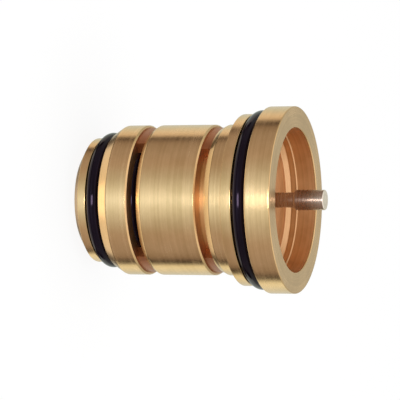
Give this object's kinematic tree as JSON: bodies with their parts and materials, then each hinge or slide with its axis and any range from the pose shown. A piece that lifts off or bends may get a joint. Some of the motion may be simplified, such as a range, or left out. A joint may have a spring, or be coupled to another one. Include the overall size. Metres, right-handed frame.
{
  "type": "thermostatic cartridge",
  "caption": "Turned brass mixing cartridge with annular ports, O-rings, a recessed flange and a central steel push pin moved by a wax element.",
  "frame": {"origin": "middle of the flat back end face, on the axis", "axes": "+Z along the axis from the back end to the flange and the pin; the port windows face -Y and +Y"},
  "size_m": [0.037, 0.037, 0.0489],
  "materials": {
    "turned_brass": "fine turned",
    "slide_brass": "fine turned",
    "black_rubber": "smooth moulded",
    "pin_steel": "ground",
    "spring_steel": "drawn wire",
    "drawn_copper": "drawn copper",
    "wax": "wax with copper powder",
    "white_plastic": "smooth"
  },
  "bodies": {
    "housing": {"sleeve": "turned_brass", "front_plug": "turned_brass", "rear_o_ring": "black_rubber", "front_o_ring": "black_rubber", "plug_o_ring": "black_rubber", "hot_seat_seal": "black_rubber", "cold_seat_seal": "black_rubber", "pin_seal": "black_rubber", "pin_bush": "turned_brass", "return_spring": "spring_steel"},
    "slide": {"regulating_slide": "slide_brass", "slide_o_ring": "black_rubber", "carrier_retaining_ring": "spring_steel", "overload_spring": "spring_steel"},
    "element": {"element_carrier": "turned_brass", "element_cup": "drawn_copper", "wax_charge": "wax", "element_diaphragm": "black_rubber", "element_guide": "turned_brass"},
    "pin": {"push_pin": "pin_steel", "pressure_plug": "black_rubber", "anti_extrusion_disc": "white_plastic"}
  },
  "joints": [
    {"name": "slide_travel", "type": "slide", "parent": "housing", "child": "slide", "axis": [0, 0, -1], "range_m": [0, 0.0014], "stiffness_N_per_m": 4000, "springref_m": -0.006, "deforming": ["return_spring"]},
    {"name": "element_overtravel", "type": "slide", "parent": "slide", "child": "element", "axis": [0, 0, -1], "range_m": [0, 0.002], "stiffness_N_per_m": 12000, "springref_m": -0.004, "deforming": ["overload_spring"]},
    {"name": "pin_stroke", "type": "slide", "parent": "element", "child": "pin", "axis": [0, 0, 1], "range_m": [0, 0.004]}
  ]
}
